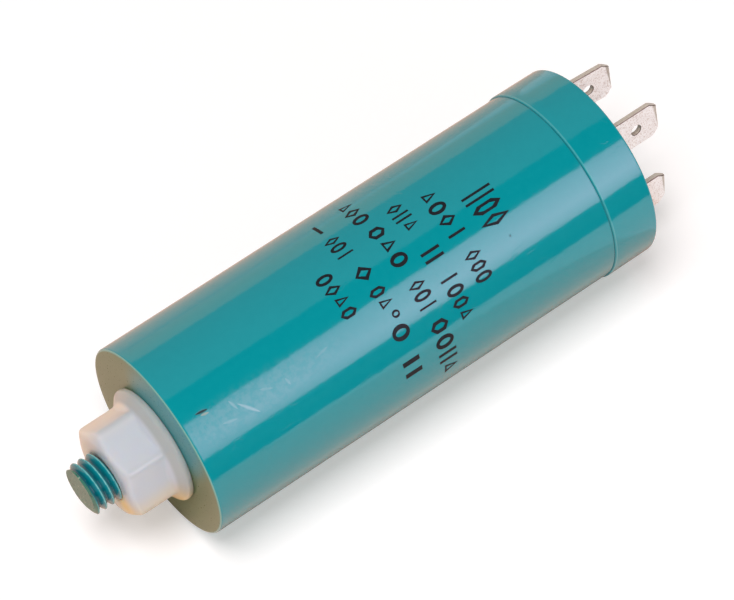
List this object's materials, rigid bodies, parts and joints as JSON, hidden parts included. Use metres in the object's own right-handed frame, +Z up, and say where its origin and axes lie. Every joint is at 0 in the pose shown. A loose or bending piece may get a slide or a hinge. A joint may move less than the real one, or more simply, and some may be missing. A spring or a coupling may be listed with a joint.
{
  "type": "motor run capacitor",
  "caption": "Round moulded motor run capacitor with a threaded mounting stud and flanged nut at one end and push-on blade terminals on its lid at the other.",
  "frame": {"origin": "centre of the mounting shoulder, the flat end that the stud stands on", "axes": "-X along the stud; +X along the can towards the lid and its blades; +Z up as it lies"},
  "size_m": [0.0983, 0.0304, 0.0304],
  "materials": {
    "can_plastic": "glossy teal moulding",
    "nylon": "milky white moulding",
    "tinned_blade": "dull tinned strip, slightly grainy",
    "tinned_rivet": "tinned",
    "lead_insulation": "smooth insulation",
    "solder": "dull solder",
    "pad_board": "pressed board",
    "core_plastic": "natural moulding",
    "metallised_film": "wound metallised film",
    "end_spray": "rough sprayed zinc",
    "resin": "cast resin"
  },
  "bodies": {
    "root": {"housing": "can_plastic", "lid": "can_plastic", "mounting_nut": "nylon", "terminal_a": "tinned_blade", "terminal_b": "tinned_blade", "rivet_a": "tinned_rivet", "rivet_b": "tinned_rivet", "inner_lug_a": "tinned_blade", "inner_lug_b": "tinned_blade", "lead_a": "lead_insulation", "lead_b": "lead_insulation", "solder_joints": "solder", "base_pad": "pad_board", "winding_core": "core_plastic", "film_winding": "metallised_film", "lower_end_spray": "end_spray", "upper_end_spray": "end_spray", "potting_resin": "resin"}
  },
  "joints": []
}
